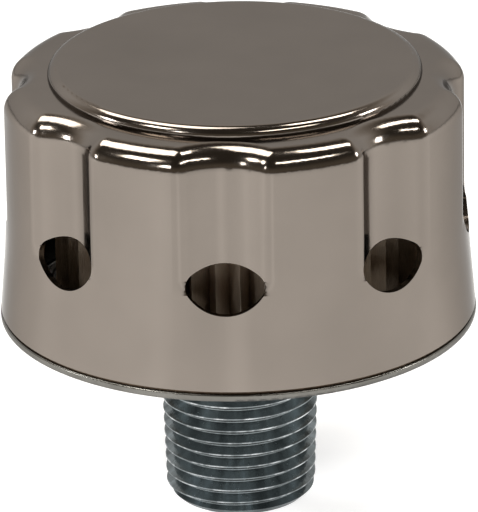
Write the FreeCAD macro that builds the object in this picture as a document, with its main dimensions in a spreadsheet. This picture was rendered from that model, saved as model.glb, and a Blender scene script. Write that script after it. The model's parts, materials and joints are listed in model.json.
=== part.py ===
import FreeCAD, Part
import math
import os

import Sketcher
from FreeCAD import Placement, Rotation, Vector

# Air filter housing for a small engine or compressor intake.
# The origin is the centre of the threaded nipple's open end, +Z points up through the cap,
# and the flutes of the cap stand at -Y and every 45 degrees from there.  Millimetres.

DIMENSIONS = {
    # threaded nipple, 1/2-14 NPT on 21.3 mm pipe
    "pipe_radius": 10.67,
    "thread_end_radius": 10.36,
    "thread_taper": 0.03125,
    "thread_pitch": 1.814,
    "thread_depth": 1.30,
    "thread_length": 19.0,
    "nipple_bore_radius": 7.9,
    "nipple_end_chamfer": 1.3,
    "nipple_lip_radius": 11.9,
    "nipple_lip_height": 1.0,
    "nipple_hole_gap": 0.1,
    "thread_runout": 2.0,
    # base pan, pressed from one sheet
    "pan_sheet": 0.8,
    "pan_underside": 27.1,
    "bead_radius": 0.5,
    "bead_outer_radius": 33.0,
    "seat_height": 28.2,
    "spigot_radius": 31.2,
    "spigot_top": 33.5,
    "braze_leg": 1.4,
    "doubler_radius": 18.0,
    "doubler_thickness": 1.2,
    "floor_rivet_circle": 14.2,
    "rivet_radius": 0.9,
    "rivet_head_radius": 1.8,
    "rivet_head_height": 0.7,
    "rivet_hole_gap": 0.05,
    # cover, one deep-drawn shell
    "cover_wall": 0.9,
    "foot_radius": 32.9,
    "rim_gasket": 0.4,
    "skirt_radius": 32.0,
    "skirt_flare_top": 39.0,
    "skirt_bend_radius": 65.0,
    "ledge_edge": 62.0,
    "shoulder_round": 3.2,
    "disc_radius": 25.7,
    "disc_foot": 62.3,
    "disc_top": 63.7,
    "disc_edge_round": 1.3,
    # flutes and the intake openings at their lower ends
    "flute_count": 8,
    "flute_floor_radius": 29.6,
    "flute_arc_radius": 9.4,
    "flute_blend_radius": 3.3,
    "eye_half_width": 5.85,
    "eye_bottom": 39.2,
    "eye_corner": 43.6,
    "eye_top": 46.0,
    "eye_corner_round": 2.0,
    "runout_low": 42.0,
    "runout_high": 43.9,
    # filter element
    "element_radius": 26.6,
    "element_seat": 29.2,
    "cap_sheet": 0.5,
    "cap_rim": 2.4,
    "potting_height": 1.5,
    "media_outer_radius": 25.2,
    "media_inner_radius": 18.7,
    "media_thickness": 0.55,
    "media_height": 21.6,
    "pleat_count": 48,
    "core_radius": 17.9,
    "core_wall": 0.7,
    "core_hole_radius": 1.6,
    "core_hole_columns": 14,
    "core_hole_rows": 5,
    "strip_width": 5.0,
    "strip_thickness": 0.5,
    # hold-down spring between the element and the cover
    "pad_thickness": 1.0,
    "pad_radius": 13.0,
    "plate_sheet": 0.6,
    "cup_sheet": 0.8,
    "cup_radius": 12.5,
    "cup_rim": 2.4,
    "spring_radius": 9.0,
    "spring_wire_radius": 0.6,
    "spring_turns": 2.75,
    # leaf clips that grip the inside of the skirt
    "clip_count": 4,
    "clip_width": 6.0,
    "clip_sheet": 0.5,
    "clip_top": 36.5,
    "clip_reach": 31.3,
    "clip_rivet_height": 31.2,
}

doc = FreeCAD.newDocument("air_filter_housing")
sheet = doc.addObject("Spreadsheet::Sheet", "Dims")
for row, (word, number) in enumerate(DIMENSIONS.items(), start=1):
    sheet.set("A%d" % row, word)
    sheet.set("B%d" % row, str(number))
    sheet.setAlias("B%d" % row, word)
doc.recompute()

PIECES = []


def value(expression):
    """The number that an expression on the sheet's cells gives."""
    found = sheet.evalExpression(expression)
    return float(getattr(found, "Value", found))


def origin_part(body, role):
    """One of a body's own origin planes or axes."""
    return next(part for part in body.Origin.OriginFeatures if part.Role == role)


def new_body(name, piece=True):
    """A body; a piece is written to its own file at the end."""
    body = doc.addObject("PartDesign::Body", name)
    body.Label = name
    if piece:
        PIECES.append(body)
    return body


def new_sketch(body, name, plane="XZ_Plane", right="0", up="0"):
    """A sketch on one of the body's planes, its origin moved right and up by expressions."""
    sketch = body.newObject("Sketcher::SketchObject", name)
    sketch.AttachmentSupport = (origin_part(body, plane), [""])
    sketch.MapMode = "FlatFace"
    sketch.setExpression("AttachmentOffset.Base.x", right)
    sketch.setExpression("AttachmentOffset.Base.y", up)
    return sketch


def place_point(sketch, geometry, end, across, up):
    """Holds one point of a sketch at two expressions."""
    for kind, axis, expression in (("DistanceX", -2, across), ("DistanceY", -1, up)):
        number = value(expression)
        if abs(number) < 1e-9:
            sketch.addConstraint(Sketcher.Constraint("PointOnObject", geometry, end, axis))
            continue
        index = sketch.addConstraint(Sketcher.Constraint(kind, -1, 1, geometry, end, number))
        sketch.setExpression("Constraints[%d]" % index, expression)


def draw_outline(sketch, corners):
    """A closed outline of straight sides.

    Each corner is (across, up) or (across, up, rounding), all expressions on the sheet.
    """
    points = [Vector(value(corner[0]), value(corner[1]), 0) for corner in corners]
    count = len(points)
    starts, ends = list(points), list(points)
    arcs = {}
    for i, corner in enumerate(corners):
        if len(corner) < 3:
            continue
        radius = value(corner[2])
        back = (points[i - 1] - points[i]).normalize()
        ahead = (points[(i + 1) % count] - points[i]).normalize()
        half = back.getAngle(ahead) / 2
        reach = radius / math.tan(half)
        middle = (back + ahead).normalize()
        centre = points[i] + middle * (radius / math.sin(half))
        ends[i] = points[i] + back * reach
        starts[i] = points[i] + ahead * reach
        arcs[i] = Part.Arc(ends[i], centre - middle * radius, starts[i])
    for i in range(count):
        sketch.addGeometry(Part.LineSegment(starts[i], ends[(i + 1) % count]), False)
    for i, corner in enumerate(corners):
        before, after = (i - 1) % count, i
        if i not in arcs:
            sketch.addConstraint(Sketcher.Constraint("Coincident", before, 2, after, 1))
            place_point(sketch, after, 1, corner[0], corner[1])
            continue
        arc = sketch.addGeometry(arcs[i], False)
        first, second = 1, 2
        if sketch.getPoint(arc, 1).distanceToPoint(ends[i]) > 1e-6:
            first, second = 2, 1
        sketch.addConstraint(Sketcher.Constraint("Tangent", before, 2, arc, first))
        sketch.addConstraint(Sketcher.Constraint("Tangent", arc, second, after, 1))
        index = sketch.addConstraint(Sketcher.Constraint("Radius", arc, value(corner[2])))
        sketch.setExpression("Constraints[%d]" % index, corner[2])
        point = sketch.addGeometry(Part.Point(points[i]), True)
        sketch.addConstraint(Sketcher.Constraint("PointOnObject", point, 1, before))
        sketch.addConstraint(Sketcher.Constraint("PointOnObject", point, 1, after))
        place_point(sketch, point, 1, corner[0], corner[1])


def draw_circle(sketch, radius, across="0", up="0"):
    """A circle of a bound radius at a bound place."""
    centre = Vector(value(across), value(up), 0)
    circle = sketch.addGeometry(Part.Circle(centre, Vector(0, 0, 1), value(radius)), False)
    index = sketch.addConstraint(Sketcher.Constraint("Radius", circle, value(radius)))
    sketch.setExpression("Constraints[%d]" % index, radius)
    place_point(sketch, circle, 3, across, up)


def revolve(body, sketch, axis="V_Axis"):
    """A full turn of a sketch about one of its own axes."""
    turned = body.newObject("PartDesign::Revolution", body.Name + "_turned")
    turned.Profile = sketch
    turned.ReferenceAxis = (sketch, [axis])
    turned.Angle = 360
    doc.recompute()
    return turned


def turned_piece(name, corners, piece=True):
    """A body turned about Z from one closed outline in the XZ plane."""
    body = new_body(name, piece)
    sketch = new_sketch(body, name + "_outline")
    draw_outline(sketch, corners)
    revolve(body, sketch)
    return body


def ring_of(body, features, count):
    """Repeats features evenly around Z; the count is an expression."""
    pattern = body.newObject("PartDesign::PolarPattern", body.Name + "_ring")
    pattern.Originals = features
    pattern.Axis = (origin_part(body, "Z_Axis"), [""])
    pattern.Angle = 360
    pattern.setExpression("Occurrences", count)
    body.Tip = pattern
    doc.recompute()
    return pattern


def drill(body, sketch, name):
    """A through hole, checked to have really removed metal."""
    before = body.Shape.Volume
    hole = body.newObject("PartDesign::Pocket", name)
    hole.Profile = sketch
    hole.Type = 1
    doc.recompute()
    if before - body.Shape.Volume < 1e-3:
        hole.Reversed = True
        doc.recompute()
    if before - body.Shape.Volume < 1e-3:
        raise RuntimeError(name + " removes nothing")
    return hole


# ---------------------------------------------------------------- threaded nipple

def make_nipple():
    """A steel pipe nipple with an external tapered thread and a swaged upper lip."""
    thread_end = "(Dims.thread_length + Dims.thread_runout)"
    lip_underside = "(Dims.pan_underside + Dims.pan_sheet + Dims.doubler_thickness)"
    body = turned_piece("threaded_nipple", [
        ("Dims.nipple_bore_radius", "0"),
        ("Dims.thread_end_radius - Dims.nipple_end_chamfer", "0"),
        ("Dims.thread_end_radius + Dims.nipple_end_chamfer * Dims.thread_taper",
         "Dims.nipple_end_chamfer"),
        ("Dims.thread_end_radius + %s * Dims.thread_taper" % thread_end, thread_end),
        ("Dims.pipe_radius", thread_end + " + 0.4"),
        ("Dims.pipe_radius", lip_underside),
        ("Dims.nipple_lip_radius", lip_underside),
        ("Dims.nipple_lip_radius", lip_underside + " + Dims.nipple_lip_height"),
        ("Dims.nipple_bore_radius", lip_underside + " + Dims.nipple_lip_height"),
    ])
    before = body.Shape.Volume
    groove = new_sketch(body, "thread_groove")
    start = "(-Dims.thread_pitch)"
    root = "(Dims.thread_end_radius + %s * Dims.thread_taper - Dims.thread_depth)" % start
    flank = "((Dims.thread_depth + 0.1) * tan(30))"
    root_flat = "(0.04 * Dims.thread_pitch)"
    # The groove starts one turn below the end, so that it enters the metal at full depth.
    groove.setExpression("AttachmentOffset.Base.y", start)
    draw_outline(groove, [
        (root, "-%s" % root_flat),
        (root, root_flat),
        (root + " + Dims.thread_depth + 0.1", "%s + %s" % (root_flat, flank)),
        (root + " + Dims.thread_depth + 0.1", "-%s - %s" % (root_flat, flank)),
    ])
    doc.recompute()
    thread = body.newObject("PartDesign::SubtractiveHelix", "nipple_thread")
    thread.Profile = groove
    thread.ReferenceAxis = (groove, ["V_Axis"])
    thread.Mode = "pitch-height-angle"
    thread.setExpression("Pitch", "Dims.thread_pitch")
    thread.setExpression("Height", "Dims.thread_length + Dims.thread_pitch")
    thread.setExpression("Angle", "atan(Dims.thread_taper)")
    doc.recompute()
    if before - body.Shape.Volume < 300:
        raise RuntimeError("the thread is not cut")


def make_braze_ring():
    """The brazed fillet between the pan's underside and the nipple."""
    inner = "(Dims.pipe_radius + Dims.nipple_hole_gap)"
    turned_piece("nipple_braze_ring", [
        (inner, "Dims.pan_underside - Dims.braze_leg"),
        (inner + " + Dims.braze_leg", "Dims.pan_underside"),
        (inner, "Dims.pan_underside"),
    ])


# ---------------------------------------------------------------- base pan

def add_floor_holes(body, name):
    """The rivet holes that the pan and its doubler share."""
    sketch = new_sketch(body, name, plane="XY_Plane")
    draw_circle(sketch, "Dims.rivet_radius + Dims.rivet_hole_gap", across="Dims.floor_rivet_circle")
    return drill(body, sketch, name + "_drilled")


def make_base_pan():
    """One sheet: flat floor, a bead at the foot, a seat for the cover and an inner spigot."""
    sheet_top = "(Dims.pan_underside + Dims.pan_sheet)"
    body = turned_piece("base_pan", [
        ("Dims.pipe_radius + Dims.nipple_hole_gap", "Dims.pan_underside"),
        ("Dims.bead_outer_radius", "Dims.pan_underside", "Dims.bead_radius"),
        ("Dims.bead_outer_radius", "Dims.seat_height", "Dims.bead_radius / 2"),
        ("Dims.spigot_radius", "Dims.seat_height"),
        ("Dims.spigot_radius", "Dims.spigot_top", "Dims.pan_sheet / 3"),
        ("Dims.spigot_radius - Dims.pan_sheet", "Dims.spigot_top", "Dims.pan_sheet / 3"),
        ("Dims.spigot_radius - Dims.pan_sheet", sheet_top, "Dims.pan_sheet"),
        ("Dims.pipe_radius + Dims.nipple_hole_gap", sheet_top),
    ])
    floor_hole = add_floor_holes(body, "pan_floor_hole")
    side = new_sketch(body, "spigot_hole", plane="YZ_Plane")
    draw_circle(side, "Dims.rivet_radius + Dims.rivet_hole_gap", up="Dims.clip_rivet_height")
    side_hole = drill(body, side, "spigot_hole_drilled")
    ring_of(body, [floor_hole, side_hole], "Dims.clip_count")


def make_doubler():
    """The round plate that stiffens the floor where the nipple passes through."""
    floor = "(Dims.pan_underside + Dims.pan_sheet)"
    body = turned_piece("doubler_plate", [
        ("Dims.pipe_radius + Dims.nipple_hole_gap", floor),
        ("Dims.doubler_radius", floor),
        ("Dims.doubler_radius", floor + " + Dims.doubler_thickness", "Dims.doubler_thickness / 2"),
        ("Dims.pipe_radius + Dims.nipple_hole_gap", floor + " + Dims.doubler_thickness"),
    ])
    hole = add_floor_holes(body, "doubler_hole")
    ring_of(body, [hole], "Dims.clip_count")


def rivet_outline(sketch, low, high):
    """Half of a round-headed rivet whose shank runs up the sketch from low to high."""
    head = "Dims.rivet_head_height"
    draw_outline(sketch, [
        ("0", "%s - %s" % (low, head)),
        ("Dims.rivet_head_radius", "%s - %s" % (low, head), head + " * 0.8"),
        ("Dims.rivet_head_radius", low),
        ("Dims.rivet_radius", low),
        ("Dims.rivet_radius", high),
        ("Dims.rivet_head_radius", high),
        ("Dims.rivet_head_radius", "%s + %s" % (high, head), head + " * 0.8"),
        ("0", "%s + %s" % (high, head)),
    ])


def make_floor_rivets():
    """The rivets that join the doubler to the pan."""
    body = new_body("doubler_rivets")
    sketch = new_sketch(body, "floor_rivet_outline", right="Dims.floor_rivet_circle")
    rivet_outline(sketch, "Dims.pan_underside",
                  "(Dims.pan_underside + Dims.pan_sheet + Dims.doubler_thickness)")
    rivet = revolve(body, sketch)
    ring_of(body, [rivet], "Dims.clip_count")


def make_clips():
    """Leaf springs inside the spigot, whose bowed tips grip the skirt."""
    body = new_body("retaining_clips")
    sketch = new_sketch(body, "clip_profile")
    back = "(Dims.spigot_radius - Dims.pan_sheet - 0.2)"
    leaf = "Dims.clip_sheet"
    bow = "(Dims.clip_top - 1.4)"
    draw_outline(sketch, [
        (back, "Dims.clip_rivet_height - 2.2"),
        (back, "Dims.spigot_top + 0.4"),
        ("Dims.clip_reach", bow),
        (back + " + 0.1", "Dims.clip_top"),
        (back + " - %s + 0.2" % leaf, "Dims.clip_top - 0.3"),
        ("Dims.clip_reach - %s * 1.3" % leaf, bow),
        ("%s - %s" % (back, leaf), "Dims.spigot_top + 0.7"),
        ("%s - %s" % (back, leaf), "Dims.clip_rivet_height - 2.2"),
    ])
    leaf_pad = body.newObject("PartDesign::Pad", "clip_leaf")
    leaf_pad.Profile = sketch
    leaf_pad.setExpression("Length", "Dims.clip_width")
    leaf_pad.Midplane = True
    doc.recompute()
    side = new_sketch(body, "clip_hole", plane="YZ_Plane")
    draw_circle(side, "Dims.rivet_radius + Dims.rivet_hole_gap", up="Dims.clip_rivet_height")
    hole = drill(body, side, "clip_hole_drilled")
    ring_of(body, [leaf_pad, hole], "Dims.clip_count")


def make_clip_rivets():
    """The rivets that hold the leaf clips to the spigot, turned about radial axes."""
    body = new_body("clip_rivets")
    sketch = new_sketch(body, "clip_rivet_outline", up="Dims.clip_rivet_height")
    inner = "(Dims.spigot_radius - Dims.pan_sheet - 0.2 - Dims.clip_sheet)"
    outer = "(Dims.spigot_radius + 0.02)"
    inner_face = "%s - 0.4" % inner
    outer_face = "%s + 0.35" % outer
    draw_outline(sketch, [
        (inner_face, "0"),
        (inner_face, "Dims.rivet_head_radius"),
        (inner, "Dims.rivet_head_radius"),
        (inner, "Dims.rivet_radius"),
        (outer, "Dims.rivet_radius"),
        (outer, "Dims.rivet_head_radius"),
        (outer_face, "Dims.rivet_head_radius"),
        (outer_face, "0"),
    ])
    rivet = revolve(body, sketch, "H_Axis")
    ring_of(body, [rivet], "Dims.clip_count")


def make_rim_gasket():
    """The thin fibre ring between the pan's seat and the cover's lower edge."""
    turned_piece("rim_gasket", [
        ("Dims.spigot_radius + 0.15", "Dims.seat_height"),
        ("Dims.foot_radius - 0.45", "Dims.seat_height"),
        ("Dims.foot_radius - 0.45", "Dims.seat_height + Dims.rim_gasket"),
        ("Dims.spigot_radius + 0.15", "Dims.seat_height + Dims.rim_gasket"),
    ])


# ---------------------------------------------------------------- cover

# Radii between which the openings are cut, and the height the fluted column stands above
# the cover.
CUT_FROM = 24.0
CUT_TO = 40.0
ABOVE_COVER = 5.0


def cover_blank(name, inset):
    """The turned envelope of the cover, moved in by an expression; its side runs up straight
    as far as the ledge so that the fluted section decides the upper part."""
    low = "(Dims.seat_height + Dims.rim_gasket)"
    if inset != "0":
        low += " - 1"
    wide = "(Dims.skirt_radius - %s)" % inset
    return turned_piece(name, [
        ("0", low),
        ("Dims.foot_radius - %s" % inset, low),
        (wide, "Dims.skirt_flare_top", "Dims.skirt_bend_radius"),
        (wide, "Dims.ledge_edge - %s" % inset),
        ("Dims.disc_radius - %s" % inset, "Dims.disc_foot - %s" % inset),
        ("Dims.disc_radius - %s" % inset, "Dims.disc_top - %s" % inset,
         "Dims.disc_edge_round - 0.7 * %s" % inset),
        ("0", "Dims.disc_top - %s" % inset),
    ], piece=False)


def flute_section(inset, height, rounded=False):
    """The closed section of the fluted zone: eight lobes, or the round they stand on.

    Both kinds have their corners in the same directions, so that they can be lofted together.
    """
    lobe = value("Dims.skirt_radius") - inset
    trough = value("Dims.flute_arc_radius") + inset
    blend = value("Dims.flute_blend_radius") - inset
    trough_centre = value("Dims.flute_floor_radius + Dims.flute_arc_radius")
    count = int(value("Dims.flute_count"))
    blend_centre = lobe - blend
    squares = blend_centre ** 2 + trough_centre ** 2 - (trough + blend) ** 2
    spread = math.acos(squares / (2 * blend_centre * trough_centre))

    def polar(radius, angle):
        return Vector(radius * math.cos(angle), radius * math.sin(angle), 0)

    arcs = []
    for i in range(count):
        middle = 2 * math.pi * i / count
        centre = polar(trough_centre, middle)
        floor = polar(trough_centre - trough, middle)
        joints = []
        for side in (-1, 1):
            turn = middle + side * spread
            blend_at = polar(blend_centre, turn)
            inner = blend_at + (centre - blend_at).normalize() * blend
            outer = polar(lobe, turn)
            bulge = blend_at + ((inner + outer) * 0.5 - blend_at).normalize() * blend
            joints.append((inner, bulge, outer))
        (first_in, first_bulge, first_out), (last_in, last_bulge, last_out) = joints
        lobe_middle = polar(lobe, middle + math.pi / count)
        next_out = polar(lobe, 2 * math.pi * (i + 1) / count - spread)
        arcs.append((first_out, first_bulge, first_in))
        arcs.append((first_in, floor, last_in))
        arcs.append((last_in, last_bulge, last_out))
        arcs.append((last_out, lobe_middle, next_out))
    if rounded:
        arcs = [[Vector(point).normalize() * lobe for point in arc] for arc in arcs]
    lift = Vector(0, 0, height)
    return Part.Wire([Part.Arc(*[point + lift for point in arc]).toShape() for arc in arcs])


def fluted_column(name, inset):
    """A straight fluted column from the end of the run-out to above the cover."""
    low = value("Dims.runout_high")
    high = value("Dims.disc_top") + ABOVE_COVER
    column = doc.addObject("Part::Feature", name)
    column.Shape = Part.Face(flute_section(inset, low)).extrude(Vector(0, 0, high - low))
    return column


def flute_runout(name, inset):
    """The short zone in which the flutes fade into the round skirt beside the openings."""
    low = flute_section(inset, value("Dims.runout_low"), rounded=True)
    high = flute_section(inset, value("Dims.runout_high"))
    runout = doc.addObject("Part::Feature", name)
    runout.Shape = Part.makeLoft([low, high], True, True)
    return runout


def eye_arc(height_at_middle, height_at_corner):
    """Three points of an arc between an eye's corners, in a plane across the flute."""
    half = value("Dims.eye_half_width")
    return [
        Vector(CUT_FROM, -half, height_at_corner),
        Vector(CUT_FROM, 0, height_at_middle),
        Vector(CUT_FROM, half, height_at_corner),
    ]


def around(name, solid):
    """Copies of a solid at every flute, in one feature."""
    count = int(value("Dims.flute_count"))
    copies = []
    for i in range(count):
        copy = solid.copy()
        copy.rotate(Vector(0, 0, 0), Vector(0, 0, 1), 360.0 * i / count)
        copies.append(copy)
    feature = doc.addObject("Part::Feature", name)
    feature.Shape = Part.Compound(copies)
    return feature


def eye_cutters():
    """The eye-shaped intake openings, each bounded by two arcs that meet in rounded corners."""
    corner = value("Dims.eye_corner")
    edges = []
    for middle_height in (value("Dims.eye_top"), value("Dims.eye_bottom")):
        left, middle, right = eye_arc(middle_height, corner)
        edges.append(Part.Arc(left, middle, right).toShape())
    outline = Part.Wire(Part.__sortEdges__(edges))
    sharp = Part.Face(outline).extrude(Vector(CUT_TO - CUT_FROM, 0, 0))
    corners = [edge for edge in sharp.Edges if edge.BoundBox.XLength > CUT_TO - CUT_FROM - 1]
    eye = sharp.makeFillet(value("Dims.eye_corner_round"), corners)
    return around("eye_cutters", eye)


def boolean(kind, name, base, tool):
    """A Part boolean of two objects."""
    result = doc.addObject("Part::" + kind, name)
    result.Base = base
    result.Tool = tool
    result.Refine = True
    doc.recompute()
    return result


def shoulder_edges(shape, inset):
    """Numbers of the edges where the fluted side meets the ledge."""
    low = value("Dims.ledge_edge") - inset - 0.05
    high = value("Dims.disc_foot") - inset + 0.05
    narrow = value("Dims.disc_radius") + 0.5
    found = []
    for number, edge in enumerate(shape.Edges, start=1):
        box = edge.BoundBox
        middle = edge.valueAt((edge.FirstParameter + edge.LastParameter) / 2)
        flat = box.ZMin > low and box.ZMax < high and box.ZLength < 0.4
        if flat and math.hypot(middle.x, middle.y) > narrow:
            found.append(number)
    return found


def fluted_shape(name, inset):
    """The cover's full solid, moved in by the inset: a round skirt below, flutes above."""
    inset_text = "0"
    if inset:
        inset_text = "Dims.cover_wall"
    blank = cover_blank(name + "_blank", inset_text)
    upper = boolean("Common", name + "_upper", blank, fluted_column(name + "_column", inset))
    rounded = doc.addObject("Part::Fillet", name + "_rounded")
    rounded.Base = upper
    radius = value("Dims.shoulder_round") - inset
    rounded.Edges = [(number, radius, radius) for number in shoulder_edges(upper.Shape, inset)]
    slab = doc.addObject("Part::Cylinder", name + "_slab")
    slab.Radius = CUT_TO
    slab.setExpression("Height", "Dims.runout_low - Dims.pan_underside")
    slab.setExpression("Placement.Base.z", "Dims.pan_underside")
    skirt = boolean("Common", name + "_skirt", blank, slab)
    lower = boolean("Fuse", name + "_lower", skirt, flute_runout(name + "_runout", inset))
    return boolean("Fuse", name + "_whole", lower, rounded)


def make_cover():
    """The drawn shell: fluted outside less fluted inside, with the openings cut through."""
    outside = fluted_shape("outside", 0.0)
    inside = fluted_shape("inside", value("Dims.cover_wall"))
    shell = boolean("Cut", "closed_shell", outside, inside)
    cover = boolean("Cut", "cover_shell", shell, eye_cutters())
    cover.Label = "cover_shell"
    PIECES.append(cover)


# ---------------------------------------------------------------- filter element

CORE_FOOT = "(Dims.element_seat + Dims.cap_sheet)"
MEDIA_FOOT = "(%s + Dims.potting_height)" % CORE_FOOT
MEDIA_TOP = "(%s + Dims.media_height)" % MEDIA_FOOT
CORE_TOP = "(%s + Dims.potting_height)" % MEDIA_TOP
ELEMENT_TOP = "(%s + Dims.cap_sheet)" % CORE_TOP


def make_element_caps():
    """The pressed end caps: an open channel below, a closed lid above."""
    inner = "(Dims.core_radius - Dims.core_wall - 0.3 - Dims.cap_sheet)"
    turned_piece("element_bottom_cap", [
        (inner, "Dims.element_seat"),
        ("Dims.element_radius", "Dims.element_seat", "Dims.cap_sheet"),
        ("Dims.element_radius", "Dims.element_seat + Dims.cap_rim"),
        ("Dims.element_radius - Dims.cap_sheet", "Dims.element_seat + Dims.cap_rim"),
        ("Dims.element_radius - Dims.cap_sheet", CORE_FOOT),
        (inner + " + Dims.cap_sheet", CORE_FOOT),
        (inner + " + Dims.cap_sheet", "Dims.element_seat + Dims.cap_rim"),
        (inner, "Dims.element_seat + Dims.cap_rim"),
    ])
    turned_piece("element_top_cap", [
        ("0", CORE_TOP),
        ("Dims.element_radius - Dims.cap_sheet", CORE_TOP),
        ("Dims.element_radius - Dims.cap_sheet", ELEMENT_TOP + " - Dims.cap_rim"),
        ("Dims.element_radius", ELEMENT_TOP + " - Dims.cap_rim"),
        ("Dims.element_radius", ELEMENT_TOP, "Dims.cap_sheet"),
        ("0", ELEMENT_TOP),
    ])


def make_potting(name, low, high):
    """A cast ring that seals the ends of the pleats in their cap."""
    turned_piece(name, [
        ("Dims.core_radius + 0.1", low),
        ("Dims.element_radius - Dims.cap_sheet - 0.1", low),
        ("Dims.element_radius - Dims.cap_sheet - 0.1", high),
        ("Dims.core_radius + 0.1", high),
    ])


def make_bottom_gasket():
    """The flat rubber ring under the element."""
    turned_piece("bottom_gasket", [
        ("Dims.doubler_radius + 0.8", "Dims.pan_underside + Dims.pan_sheet"),
        ("Dims.element_radius - 0.8", "Dims.pan_underside + Dims.pan_sheet"),
        ("Dims.element_radius - 0.8", "Dims.element_seat"),
        ("Dims.doubler_radius + 0.8", "Dims.element_seat"),
    ])


def make_media():
    """The pleated paper: one endless zigzag wall of even thickness."""
    body = new_body("pleated_media")
    sketch = new_sketch(body, "pleats", plane="XY_Plane")
    count = int(value("Dims.pleat_count"))
    outer = value("Dims.media_outer_radius")
    inner = value("Dims.media_inner_radius")
    half_paper = value("Dims.media_thickness") / 2
    step = math.pi / count
    depth = outer - inner
    slant = math.atan2(depth, (outer + inner) / 2 * step)
    tip = half_paper / math.cos(slant)
    for shift in (-tip, tip):
        folds = []
        for i in range(2 * count):
            radius = inner + tip + shift
            if i % 2:
                radius = outer - tip + shift
            folds.append(Vector(radius * math.cos(i * step), radius * math.sin(i * step), 0))
        for i, fold in enumerate(folds):
            sketch.addGeometry(Part.LineSegment(folds[i - 1], fold), False)
    doc.recompute()
    paper = body.newObject("PartDesign::Pad", "paper")
    paper.Profile = sketch
    paper.setExpression("Length", "Dims.media_height")
    body.setExpression("Placement.Base.z", MEDIA_FOOT)
    doc.recompute()


def make_core():
    """The perforated tube that stops the paper from collapsing inwards."""
    body = turned_piece("inner_core", [
        ("Dims.core_radius - Dims.core_wall", CORE_FOOT),
        ("Dims.core_radius", CORE_FOOT),
        ("Dims.core_radius", CORE_TOP),
        ("Dims.core_radius - Dims.core_wall", CORE_TOP),
    ])
    sketch = new_sketch(body, "core_holes", plane="YZ_Plane")
    rows = int(value("Dims.core_hole_rows"))
    for row in range(rows):
        height = "%s + Dims.media_height * %g" % (MEDIA_FOOT, (row + 0.5) / rows)
        draw_circle(sketch, "Dims.core_hole_radius", up=height)
    hole = drill(body, sketch, "core_hole_column")
    ring_of(body, [hole], "Dims.core_hole_columns")


def make_seam_strip():
    """The metal strip that closes the seam of the pleated paper, at the back."""
    strip = doc.addObject("Part::Box", "media_seam_strip")
    strip.Label = "media_seam_strip"
    strip.setExpression("Length", "Dims.strip_width")
    strip.setExpression("Width", "Dims.strip_thickness")
    strip.setExpression("Height", "Dims.media_height + 2 * (Dims.potting_height"
                        " + Dims.cap_sheet - Dims.cap_rim) - 0.4")
    strip.setExpression("Placement.Base.x", "-Dims.strip_width / 2")
    strip.setExpression("Placement.Base.y", "Dims.media_outer_radius + 0.05")
    strip.setExpression("Placement.Base.z", "Dims.element_seat + Dims.cap_rim + 0.2")
    PIECES.append(strip)


# ---------------------------------------------------------------- hold-down spring

PLATE_FOOT = "(%s + Dims.pad_thickness)" % ELEMENT_TOP
SPRING_FOOT = "(%s + Dims.plate_sheet)" % PLATE_FOOT
CUP_CEILING = "(Dims.disc_top - Dims.cover_wall)"
SPRING_TOP = "(%s - Dims.cup_sheet)" % CUP_CEILING


def make_spring_group():
    """Cup under the disc, coil spring, pressure plate and the soft pad on the element."""
    cup_inner = "(Dims.cup_radius - Dims.cup_sheet)"
    turned_piece("spring_cup", [
        ("0", SPRING_TOP),
        (cup_inner, SPRING_TOP),
        (cup_inner, CUP_CEILING + " - Dims.cup_rim"),
        ("Dims.cup_radius", CUP_CEILING + " - Dims.cup_rim"),
        ("Dims.cup_radius", CUP_CEILING, "Dims.cup_sheet"),
        ("0", CUP_CEILING),
    ])
    turned_piece("pressure_plate", [
        ("0", PLATE_FOOT),
        ("Dims.cup_radius", PLATE_FOOT, "Dims.plate_sheet"),
        ("Dims.cup_radius", PLATE_FOOT + " + 1.6"),
        ("Dims.cup_radius - Dims.plate_sheet", PLATE_FOOT + " + 1.6"),
        ("Dims.cup_radius - Dims.plate_sheet", SPRING_FOOT),
        ("0", SPRING_FOOT),
    ])
    turned_piece("pressure_pad", [
        ("0", ELEMENT_TOP),
        ("Dims.pad_radius", ELEMENT_TOP),
        ("Dims.pad_radius", PLATE_FOOT),
        ("0", PLATE_FOOT),
    ])
    body = new_body("hold_down_spring")
    wire = "Dims.spring_wire_radius"
    sketch = new_sketch(body, "spring_wire", up=SPRING_FOOT + " + " + wire)
    draw_circle(sketch, wire, across="Dims.spring_radius")
    doc.recompute()
    coil = body.newObject("PartDesign::AdditiveHelix", "spring_coil")
    coil.Profile = sketch
    coil.ReferenceAxis = (sketch, ["V_Axis"])
    coil.Mode = "height-turns-angle"
    coil.setExpression("Height", "%s - %s - 2 * %s" % (SPRING_TOP, SPRING_FOOT, wire))
    coil.setExpression("Turns", "Dims.spring_turns")
    doc.recompute()


# ---------------------------------------------------------------- build and write

make_nipple()
make_braze_ring()
make_base_pan()
make_doubler()
make_floor_rivets()
make_clips()
make_clip_rivets()
make_rim_gasket()
make_bottom_gasket()
make_element_caps()
make_potting("bottom_potting", CORE_FOOT, MEDIA_FOOT)
make_potting("top_potting", MEDIA_TOP, CORE_TOP)
make_media()
make_core()
make_seam_strip()
make_spring_group()
make_cover()
doc.recompute()

for thing in doc.Objects:
    if "Invalid" in thing.State or "Error" in thing.State:
        raise RuntimeError("%s failed: %s" % (thing.Name, thing.State))
for piece in PIECES:
    if piece.Shape.isNull() or not piece.Shape.isValid():
        raise RuntimeError("%s has no valid shape" % piece.Label)

os.makedirs("parts", exist_ok=True)
for piece in PIECES:
    piece.Shape.exportStep(os.path.join("parts", piece.Label + ".step"))
    box = piece.Shape.optimalBoundingBox()
    print("%-20s %9.1f mm3  z %6.2f to %6.2f  solids %d" % (
        piece.Label, piece.Shape.Volume, box.ZMin, box.ZMax, len(piece.Shape.Solids)))
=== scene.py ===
import json
import math

import bpy
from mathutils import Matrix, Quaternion, Vector

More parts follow.
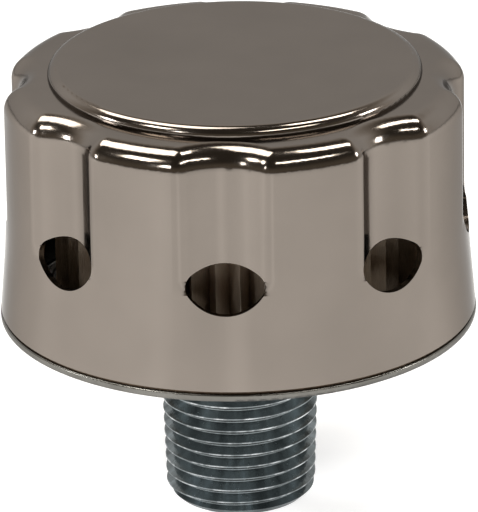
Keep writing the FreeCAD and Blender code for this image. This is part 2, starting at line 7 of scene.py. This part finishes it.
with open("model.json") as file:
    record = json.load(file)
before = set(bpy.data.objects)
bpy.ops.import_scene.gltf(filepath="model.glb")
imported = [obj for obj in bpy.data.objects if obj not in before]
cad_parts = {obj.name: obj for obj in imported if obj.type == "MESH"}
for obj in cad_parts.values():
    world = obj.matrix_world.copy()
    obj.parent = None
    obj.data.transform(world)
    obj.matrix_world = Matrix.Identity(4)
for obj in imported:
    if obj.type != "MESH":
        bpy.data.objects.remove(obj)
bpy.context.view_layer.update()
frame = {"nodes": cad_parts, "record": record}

# Lengths are in metres, angles in degrees. Azimuth 0 is the front (-Y) and grows towards +X.
MM = 0.001
WHITE = (1.0, 1.0, 1.0)
CREAM = (1.0, 0.96, 0.90)

# ---------------------------------------------------------------- node helpers


def rgba(colour):
    return (*colour, 1.0)


class Nodes:
    """A material or world node tree with short calls for what the materials share."""

    def __init__(self, owner):
        owner.use_nodes = True
        self.tree = owner.node_tree
        self.tree.nodes.clear()

    def add(self, kind, **settings):
        node = self.tree.nodes.new(kind)
        for name, setting in settings.items():
            setattr(node, name, setting)
        return node

    def link(self, source, target):
        self.tree.links.new(source, target)

    def feed(self, socket, given):
        """Links an output to a socket, or sets the socket to a plain value."""
        if isinstance(given, bpy.types.NodeSocket):
            self.link(given, socket)
        else:
            socket.default_value = given

    def math(self, operation, first, second=0.0, third=0.0):
        node = self.add("ShaderNodeMath", operation=operation)
        for socket, given in zip(node.inputs, (first, second, third)):
            self.feed(socket, given)
        return node.outputs[0]

    def times(self, first, second):
        return self.math("MULTIPLY", first, second)

    def length(self, x, y):
        return self.math("SQRT", self.math("ADD", self.times(x, x), self.times(y, y)))

    def place(self):
        """Places on the object, in metres from the CAD origin."""
        return self.add("ShaderNodeTexCoord").outputs["Object"]

    def split(self, vector):
        node = self.add("ShaderNodeSeparateXYZ")
        self.feed(node.inputs[0], vector)
        return node.outputs

    def join(self, x, y, z):
        node = self.add("ShaderNodeCombineXYZ")
        for socket, given in zip(node.inputs, (x, y, z)):
            self.feed(socket, given)
        return node.outputs[0]

    def around(self):
        """Angle about the object's axis in turns, radius and height."""
        x, y, height = self.split(self.place())
        turn = self.math("DIVIDE", self.math("ARCTAN2", x, y), 2 * math.pi)
        return turn, self.length(x, y), height

    def noise(self, vector, scale, detail=3.0, roughness=0.5):
        node = self.add("ShaderNodeTexNoise")
        self.feed(node.inputs["Vector"], vector)
        node.inputs["Scale"].default_value = scale
        node.inputs["Detail"].default_value = detail
        node.inputs["Roughness"].default_value = roughness
        return node.outputs["Fac"]

    def span(self, given, low, high, to_low, to_high, smooth=False):
        """Carries low..high over to to_low..to_high, held at both ends."""
        node = self.add("ShaderNodeMapRange")
        if smooth:
            node.interpolation_type = "SMOOTHSTEP"
        for socket, number in zip(node.inputs, (given, low, high, to_low, to_high)):
            self.feed(socket, number)
        return node.outputs[0]

    def ramp(self, given, stops):
        node = self.add("ShaderNodeValToRGB")
        self.feed(node.inputs[0], given)
        elements = node.color_ramp.elements
        while len(elements) < len(stops):
            elements.new(0.5)
        for element, (position, colour) in zip(elements, stops):
            element.position = position
            element.color = rgba(colour)
        return node.outputs[0]

    def mix(self, factor, first, second):
        node = self.add("ShaderNodeMix", data_type="RGBA", blend_type="MIX")
        self.feed(node.inputs[0], factor)
        self.feed(node.inputs[6], first)
        self.feed(node.inputs[7], second)
        return node.outputs[2]

    def bump(self, height, depth, under=None):
        """Relief of a given depth, laid over an earlier one if there is one."""
        node = self.add("ShaderNodeBump")
        node.inputs["Strength"].default_value = 1.0
        node.inputs["Distance"].default_value = depth
        self.feed(node.inputs["Height"], height)
        if under is not None:
            self.link(under, node.inputs["Normal"])
        return node.outputs[0]

    def shader(self, colour, metallic, roughness, normal=None, edge=1.0):
        """A principled surface. Below 1, edge darkens what a metal mirrors at a grazing angle."""
        node = self.add("ShaderNodeBsdfPrincipled")
        self.feed(node.inputs["Base Color"], colour)
        node.inputs["Metallic"].default_value = metallic
        self.feed(node.inputs["Roughness"], roughness)
        node.inputs["Specular Tint"].default_value = (edge, edge, edge, 1.0)
        if normal is not None:
            self.link(normal, node.inputs["Normal"])
        output = self.add("ShaderNodeOutputMaterial")
        self.link(node.outputs[0], output.inputs["Surface"])
        return node


def material(name):
    made = bpy.data.materials.new(name)
    return made, Nodes(made)


# ---------------------------------------------------------------- materials

# How much of the light at a grazing angle these metals mirror.
NICKEL_EDGE = 0.5
ZINC_EDGE = 0.55
# Tone of a stain, as a share of the metal's dark tone.
STAIN_TONE = 0.55
# The cap's draw marks fade out between these two heights on its shoulder.
MARKS_FADE, MARKS_END = 58.5 * MM, 61.2 * MM
# The nipple's thread: crest radius brought down to its lower end, taper, and height of the last turn.
CREST_RADIUS = 10.36 * MM
THREAD_TAPER = 1 / 32
THREAD_TOP = 18.5 * MM
# The crests' painted highlight starts this far below the crest radius, and is full this far below it.
HIGHLIGHT_START, HIGHLIGHT_FULL = 0.12 * MM, 0.02 * MM
# Dust on the pleats' outer folds grows from the first radius to the second.
DUST_INNER, DUST_OUTER = 23.5 * MM, 25.2 * MM


def black_nickel():
    """Mirror plating over drawn steel: dark, slightly warm, with faint draw marks and haze."""
    made, nodes = material("black_nickel")
    place = nodes.place()
    turn, _, height = nodes.around()
    drawn = nodes.join(nodes.times(turn, 0.2), 0.0, nodes.times(height, 0.04))
    marks = nodes.noise(drawn, 900.0, 4.0, 0.6)
    haze = nodes.noise(place, 60.0, 4.0, 0.6)
    specks = nodes.noise(place, 2600.0, 2.0, 0.7)
    colour = nodes.ramp(haze, [(0.30, (0.190, 0.167, 0.147)), (0.70, (0.210, 0.184, 0.162))])
    roughness = nodes.span(haze, 0.3, 0.7, 0.11, 0.16)
    roughness = nodes.math("ADD", roughness, nodes.span(specks, 0.62, 0.75, 0.0, 0.06))
    side = nodes.span(height, MARKS_FADE, MARKS_END, 1.0, 0.0, True)
    normal = nodes.bump(nodes.times(marks, side), 0.012 * MM)
    normal = nodes.bump(nodes.noise(place, 85.0, 2.0), 0.06 * MM, normal)
    nodes.shader(colour, 1.0, roughness, normal, NICKEL_EDGE)
    return made


def zinc(name, dark, light, roughness):
    """Zinc-plated or plain steel: cloudy tone, fine turning marks and a few stains."""
    made, nodes = material(name)
    place = nodes.place()
    turn, radius, height = nodes.around()
    cloud = nodes.noise(place, 140.0, 5.0, 0.65)
    marks = nodes.noise(nodes.join(nodes.times(turn, 0.01), radius, height), 2800.0, 2.0)
    stain = nodes.span(nodes.noise(place, 320.0, 3.0), 0.58, 0.72, 0.0, 0.35)
    colour = nodes.ramp(cloud, [(0.32, dark), (0.68, light)])
    colour = nodes.mix(stain, colour, rgba(channel * STAIN_TONE for channel in dark))
    normal = nodes.bump(marks, 0.02 * MM)
    normal = nodes.bump(nodes.noise(place, 1500.0, 3.0), 0.02 * MM, normal)
    nodes.shader(colour, 1.0, nodes.span(cloud, 0.3, 0.7, *roughness), normal, ZINC_EDGE)
    return made


def threaded_zinc():
    """The nipple: dark zinc flanks with bluish clouds, and a painted highlight along the thread crests,
    broken up in places.
    """
    made, nodes = material("nipple_zinc")
    place = nodes.place()
    turn, radius, height = nodes.around()
    turned = nodes.join(nodes.times(turn, 0.06), 0.0, nodes.times(height, 0.3))
    cloud = nodes.noise(turned, 400.0, 4.0, 0.6)
    grain = nodes.noise(place, 1500.0, 3.0, 0.6)
    colour = nodes.ramp(cloud, [(0.30, (0.105, 0.118, 0.122)), (0.55, (0.19, 0.215, 0.222)),
                                (0.75, (0.27, 0.31, 0.33))])
    straight = nodes.math("MULTIPLY_ADD", height, -THREAD_TAPER, radius)
    # Painted highlight on the thread crests: near the crest radius the colour turns pale, fading out at
    # the last turn, in patches set by noise.
    crest = nodes.span(straight, CREST_RADIUS - HIGHLIGHT_START, CREST_RADIUS - HIGHLIGHT_FULL, 0.0, 1.0)
    crest = nodes.times(crest, nodes.span(height, THREAD_TOP - MM, THREAD_TOP, 1.0, 0.0))
    highlight_patches = nodes.span(nodes.noise(place, 420.0, 3.0, 0.6), 0.47, 0.66, 0.06, 1.0)
    colour = nodes.mix(nodes.times(crest, highlight_patches), colour, rgba((0.66, 0.69, 0.71)))
    roughness = nodes.span(grain, 0.3, 0.7, 0.12, 0.28)
    nodes.shader(colour, 1.0, roughness, nodes.bump(grain, 0.03 * MM), ZINC_EDGE)
    return made


def filter_paper():
    """Resin-treated paper: mottled fibres, with dust caught on the outer folds."""
    made, nodes = material("filter_paper")
    place = nodes.place()
    turn, radius, height = nodes.around()
    pressed = nodes.join(nodes.times(turn, 1.2), radius, nodes.times(height, 0.3))
    fibre = nodes.noise(pressed, 2600.0, 4.0, 0.7)
    blotch = nodes.noise(place, 180.0, 3.0)
    colour = nodes.ramp(fibre, [(0.3, (0.36, 0.28, 0.21)), (0.7, (0.56, 0.46, 0.36))])
    dust = nodes.span(radius, DUST_INNER, DUST_OUTER, 0.0, 0.45)
    dust = nodes.times(dust, nodes.span(blotch, 0.35, 0.65, 0.4, 1.0))
    colour = nodes.mix(dust, colour, rgba((0.62, 0.53, 0.43)))
    roughness = nodes.span(fibre, 0.3, 0.7, 0.75, 0.95)
    nodes.shader(colour, 0.0, roughness, nodes.bump(fibre, 0.05 * MM))
    return made


def dull(name, dark, light, scale, roughness, depth):
    """Rubber, cast resin, fibre and felt: mottled colour with a fine matt grain."""
    made, nodes = material(name)
    place = nodes.place()
    mottle = nodes.noise(place, scale, 5.0, 0.65)
    grain = nodes.noise(place, scale * 9, 3.0, 0.6)
    colour = nodes.ramp(mottle, [(0.3, dark), (0.7, light)])
    nodes.shader(colour, 0.0, nodes.span(grain, 0.3, 0.7, *roughness), nodes.bump(grain, depth))
    return made


def braze():
    """Brass filler metal with a wavy, slightly oxidised skin."""
    made, nodes = material("braze")
    wave = nodes.noise(nodes.place(), 700.0, 4.0)
    colour = nodes.ramp(wave, [(0.3, (0.36, 0.26, 0.12)), (0.7, (0.60, 0.46, 0.22))])
    nodes.shader(colour, 1.0, nodes.span(wave, 0.3, 0.7, 0.25, 0.5), nodes.bump(wave, 0.1 * MM))
    return made


MATERIALS = {
    "black_nickel": black_nickel(),
    "pan_zinc": zinc("pan_zinc", (0.135, 0.131, 0.120), (0.18, 0.176, 0.163), (0.18, 0.32)),
    "nipple_zinc": threaded_zinc(),
    "cap_steel": zinc("cap_steel", (0.46, 0.45, 0.43), (0.60, 0.59, 0.57), (0.28, 0.45)),
    "rivet_steel": zinc("rivet_steel", (0.52, 0.52, 0.51), (0.70, 0.70, 0.69), (0.25, 0.4)),
    "spring_steel": zinc("spring_steel", (0.30, 0.29, 0.28), (0.45, 0.44, 0.43), (0.22, 0.4)),
    "braze": braze(),
    "filter_paper": filter_paper(),
    "fibre": dull("fibre", (0.10, 0.065, 0.04), (0.20, 0.14, 0.09), 900.0, (0.7, 0.9), 0.04 * MM),
    "potting": dull("potting", (0.02, 0.018, 0.016), (0.05, 0.045, 0.04), 300.0, (0.4, 0.6), 0.03 * MM),
    "rubber": dull("rubber", (0.012, 0.012, 0.012), (0.03, 0.03, 0.03), 500.0, (0.55, 0.8), 0.03 * MM),
    "felt": dull("felt", (0.12, 0.11, 0.10), (0.24, 0.22, 0.20), 1600.0, (0.9, 1.0), 0.12 * MM),
}

for part in frame["record"]["subparts"]:
    node = frame["nodes"][part["node"]]
    node.data.materials.clear()
    node.data.materials.append(MATERIALS[part["material_slot"]])

# ---------------------------------------------------------------- camera and lights

AZIMUTH, ELEVATION, ROLL = 3.15, 22.0, -0.89
DISTANCE = 0.90
# The camera faces a point at this height, this far to the right of the axis.
AIM_HEIGHT = 35.03 * MM
AIM_ASIDE = 0.18 * MM
# What the picture's longer side takes in at the object.
VIEW_SPAN = 70.914 * MM
# The sensor's longer side in millimetres, the unit of Blender's focal lengths.
SENSOR = 36.0

LIGHT_DISTANCE = 0.90
# Height of the point on the axis that every light faces.
LIGHT_AIM = 40.0 * MM
# Name, azimuth, elevation, width, height, watts and colour of each softbox.
SOFTBOXES = (
    ("key", -52, 43, 0.20, 0.18, 2.2, CREAM),
    ("fill", 40, 45, 0.46, 0.07, 1.8, CREAM),
    ("over_left", -122, 66, 0.42, 0.62, 7.0, CREAM),
    ("over_right", 118, 64, 0.20, 0.34, 3.4, CREAM),
    ("low_left", -32, 24, 0.07, 0.14, 0.5, WHITE),
    ("low_right", 92, 18, 0.14, 0.16, 2.0, WHITE),
    ("side_left", -78, 12, 0.12, 0.14, 2.4, WHITE),
)


def outward(azimuth, elevation):
    """Unit vector from the object towards an azimuth and an elevation."""
    turn, rise = math.radians(azimuth), math.radians(elevation)
    return Vector((math.sin(turn) * math.cos(rise), -math.cos(turn) * math.cos(rise), math.sin(rise)))


def stand(name, data, aim, out, distance):
    """An object at a distance from the aim along the vector out, facing the aim."""
    made = bpy.data.objects.new(name, data)
    bpy.context.scene.collection.objects.link(made)
    made.location = aim + out * distance
    made.rotation_mode = "QUATERNION"
    made.rotation_quaternion = (-out).to_track_quat("-Z", "Y")
    return made


def add_camera():
    aside = Vector((math.cos(math.radians(AZIMUTH)), math.sin(math.radians(AZIMUTH)), 0.0))
    aim = Vector((0.0, 0.0, AIM_HEIGHT)) + aside * AIM_ASIDE
    data = bpy.data.cameras.new("camera")
    data.sensor_width = SENSOR
    data.lens = SENSOR * DISTANCE / VIEW_SPAN
    data.clip_start, data.clip_end = 0.05, 50.0
    camera = stand("camera", data, aim, outward(AZIMUTH, ELEVATION), DISTANCE)
    roll = Quaternion((0, 0, 1), math.radians(ROLL))
    camera.rotation_quaternion = camera.rotation_quaternion @ roll
    bpy.context.scene.camera = camera


def add_softbox(name, azimuth, elevation, width, height, watts, colour):
    """A rectangular area light that faces the object."""
    data = bpy.data.lights.new(name, "AREA")
    data.shape = "RECTANGLE"
    data.size, data.size_y = width, height
    data.energy = watts
    data.color = colour
    stand(name, data, Vector((0.0, 0.0, LIGHT_AIM)), outward(azimuth, elevation), LIGHT_DISTANCE)


# ---------------------------------------------------------------- floor and surroundings

FLOOR_REACH = 3.0
FLOOR_GREYS = ((0.3, (0.40, 0.40, 0.40)), (0.7, (0.43, 0.43, 0.43)))
# The floor's glow, a painted pool of light, full inside the first radius and least outside the second.
POOL_INNER, POOL_OUTER = 0.30, 1.10
GLOW_FULL, GLOW_LEAST = 0.84, 0.50
# Painted light and shade on the floor, brighter and darker by direction: azimuth, half width, change of
# glow.
FLOOR_BANDS = (
    (-36.0, 26.0, 0.14),
    (-31.0, 7.0, 0.10),
    (2.0, 9.0, 0.22),
    (60.0, 30.0, -0.10),
    (100.0, 16.0, 0.12),
    (-92.0, 14.0, 0.14),
    (150.0, 45.0, -0.20),
    (-150.0, 45.0, -0.20),
)

# Brightness of the surroundings: everywhere, added behind the object, added in front of it.
DIM, BACKDROP, FRONT = 0.07, 0.94, 0.15
# Where these fade, by the y and z of a direction's unit vector.
BACKDROP_SIDE = (-0.15, 0.60)
BACKDROP_TOP = (0.50, 0.85)
FRONT_TOP = (0.20, 0.52)
DIM_TINT = (1.0, 0.84, 0.66)
BACKDROP_TINT = (1.0, 0.985, 0.965)


def add_floor():
    """A pale sweep that glows with painted light: near white round the object, falling to grey far away
    from it, with brighter and darker bands by direction.
    """
    far = FLOOR_REACH
    corners = [(-far, -far, 0), (far, -far, 0), (far, far, 0), (-far, far, 0)]
    mesh = bpy.data.meshes.new("floor")
    mesh.from_pydata(corners, [], [(0, 1, 2, 3)])
    floor = bpy.data.objects.new("floor", mesh)
    bpy.context.scene.collection.objects.link(floor)
    made, nodes = material("floor")
    place = nodes.place()
    x, y, _ = nodes.split(place)
    glow = nodes.span(nodes.length(x, y), POOL_INNER, POOL_OUTER, GLOW_FULL, GLOW_LEAST, True)
    turn = nodes.math("ARCTAN2", x, nodes.times(y, -1.0))
    for azimuth, half_width, change in FLOOR_BANDS:
        aside = nodes.math("ABSOLUTE", nodes.math("SUBTRACT", turn, math.radians(azimuth)))
        band = nodes.span(aside, 0.0, math.radians(half_width), change, 0.0, True)
        glow = nodes.math("ADD", glow, band)
    shader = nodes.shader(nodes.ramp(nodes.noise(place, 3.0, 2.0), FLOOR_GREYS), 0.0, 0.9)
    shader.inputs["Emission Color"].default_value = rgba(WHITE)
    # Painted light: the floor glows, which also lifts the shadow the object casts on it.
    nodes.link(glow, shader.inputs["Emission Strength"])
    mesh.materials.append(made)


def add_world():
    """A studio that is dark overhead and on the camera's side, and pale behind the object."""
    world = bpy.data.worlds.new("studio")
    bpy.context.scene.world = world
    nodes = Nodes(world)
    _, y, z = nodes.split(nodes.add("ShaderNodeTexCoord").outputs["Generated"])
    behind = nodes.span(y, *BACKDROP_SIDE, 0.0, 1.0, True)
    before = nodes.math("SUBTRACT", 1.0, behind)
    backdrop = nodes.times(behind, nodes.span(z, *BACKDROP_TOP, 1.0, 0.0, True))
    front = nodes.times(before, nodes.span(z, *FRONT_TOP, 1.0, 0.0, True))
    level = nodes.math("MULTIPLY_ADD", backdrop, BACKDROP, DIM)
    level = nodes.math("MULTIPLY_ADD", front, FRONT, level)
    shade = nodes.add("ShaderNodeBackground")
    nodes.link(nodes.mix(backdrop, rgba(DIM_TINT), rgba(BACKDROP_TINT)), shade.inputs[0])
    nodes.link(level, shade.inputs[1])
    nodes.link(shade.outputs[0], nodes.add("ShaderNodeOutputWorld").inputs[0])


add_camera()
add_floor()
add_world()
for softbox in SOFTBOXES:
    add_softbox(*softbox)
bpy.context.scene.view_settings.view_transform = "Standard"
